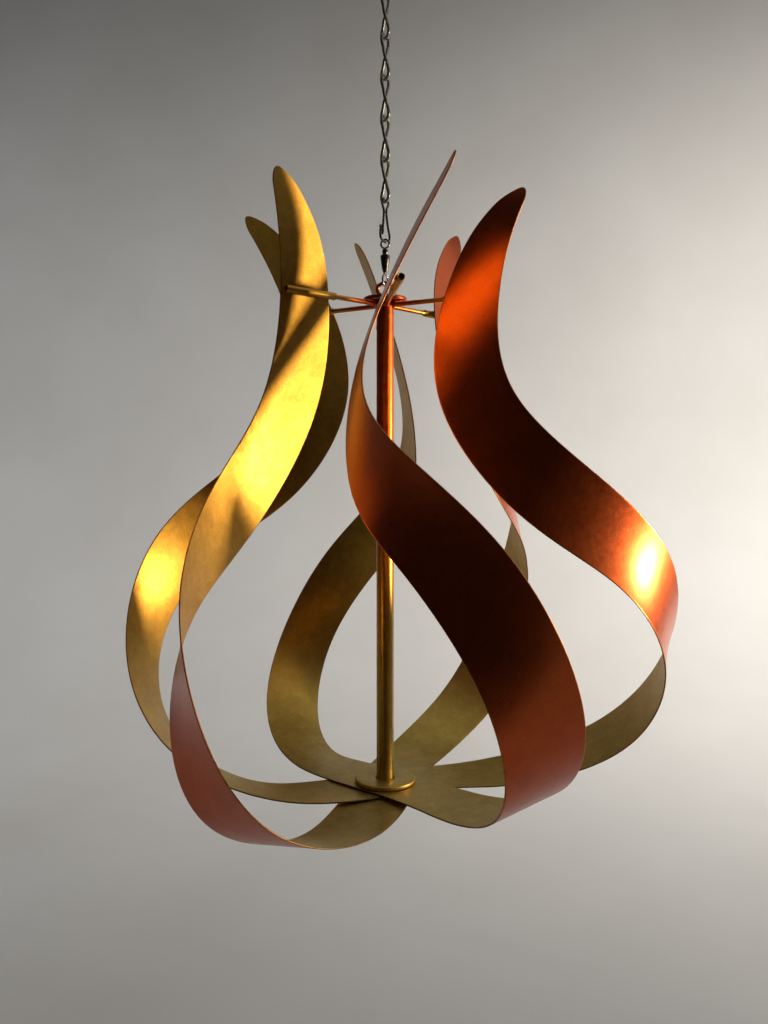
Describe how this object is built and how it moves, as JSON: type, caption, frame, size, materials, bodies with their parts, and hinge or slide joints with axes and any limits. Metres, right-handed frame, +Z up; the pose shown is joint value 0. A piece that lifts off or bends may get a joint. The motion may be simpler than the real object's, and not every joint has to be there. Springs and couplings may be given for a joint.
{
  "type": "hanging wind spinner",
  "caption": "Hanging garden wind spinner: twisted copper and gold ribbons round a central tube, turning on a swivel below a short chain and hook.",
  "frame": {"origin": "hang point: the inside top of the hook's upper bend, where whatever carries the spinner touches it", "axes": "+Z up along the chain and the rotor's tube; -Y towards the side seen in the picture; +X to its right"},
  "size_m": [0.4071, 0.3631, 0.6169],
  "materials": {
    "copper_paint": "metallic copper paint, satin gloss",
    "gold_paint": "metallic gold paint, satin",
    "zinc_steel": "weathered zinc plate",
    "black_nickel": "dark nickel plate"
  },
  "bodies": {
    "hook": {"s_hook": "zinc_steel"},
    "link_1": {"chain_link_1": "zinc_steel"},
    "link_2": {"chain_link_2": "zinc_steel"},
    "link_3": {"chain_link_3": "zinc_steel"},
    "link_4": {"chain_link_4": "zinc_steel"},
    "link_5": {"chain_link_5": "zinc_steel"},
    "clip": {"snap_clip": "black_nickel"},
    "swivel_head": {"swivel_upper_eye": "black_nickel"},
    "barrel": {"swivel_barrel": "black_nickel"},
    "swivel_tail": {"swivel_lower_eye": "black_nickel"},
    "rotor": {"rotor_eye": "copper_paint", "hub_disc": "copper_paint", "tube_plug": "copper_paint", "centre_tube": "copper_paint", "base_disc": "gold_paint", "tube_insert": "zinc_steel", "base_washer": "zinc_steel", "base_bolt": "zinc_steel", "strip_upper": "copper_paint", "strip_middle": "copper_paint", "strip_lower": "copper_paint", "sleeve_1": "gold_paint", "sleeve_2": "gold_paint", "sleeve_3": "gold_paint", "sleeve_4": "gold_paint", "sleeve_5": "gold_paint", "sleeve_6": "gold_paint", "spoke_1": "copper_paint", "spoke_2": "copper_paint", "spoke_3": "copper_paint", "spoke_4": "copper_paint", "spoke_5": "copper_paint", "spoke_6": "copper_paint"}
  },
  "joints": [
    {"name": "link_1_swing", "type": "hinge", "parent": "hook", "child": "link_1", "pos_m": [0, 0, -0.0307], "axis": [0.7071, -0.7071, 0], "range_deg": [-25, 25]},
    {"name": "link_2_swing", "type": "hinge", "parent": "link_1", "child": "link_2", "pos_m": [0, 0, -0.05735], "axis": [0.7071, 0.7071, 0], "range_deg": [-25, 25]},
    {"name": "link_3_swing", "type": "hinge", "parent": "link_2", "child": "link_3", "pos_m": [0, 0, -0.08935], "axis": [0.7071, -0.7071, 0], "range_deg": [-25, 25]},
    {"name": "link_4_swing", "type": "hinge", "parent": "link_3", "child": "link_4", "pos_m": [0, 0, -0.11615], "axis": [0.7071, 0.7071, 0], "range_deg": [-25, 25]},
    {"name": "link_5_swing", "type": "hinge", "parent": "link_4", "child": "link_5", "pos_m": [0, 0, -0.14815], "axis": [0.7071, -0.7071, 0], "range_deg": [-25, 25]},
    {"name": "clip_swing", "type": "hinge", "parent": "link_5", "child": "clip", "pos_m": [0, 0, -0.17525], "axis": [0.7071, 0.7071, 0], "range_deg": [-20, 20]},
    {"name": "swivel_swing", "type": "hinge", "parent": "clip", "child": "swivel_head", "pos_m": [0, 0, -0.2048], "axis": [0.9397, -0.342, 0], "range_deg": [-20, 20]},
    {"name": "barrel_spin", "type": "hinge", "parent": "swivel_head", "child": "barrel", "pos_m": [0, 0, -0.22], "axis": [0, 0, 1], "continuous": true},
    {"name": "rotor_spin", "type": "hinge", "parent": "barrel", "child": "swivel_tail", "pos_m": [0, 0, -0.2286], "axis": [0, 0, 1], "continuous": true},
    {"name": "rotor_swing", "type": "hinge", "parent": "swivel_tail", "child": "rotor", "pos_m": [0, 0, -0.2364], "axis": [1, 0, 0], "range_deg": [-15, 15]}
  ]
}
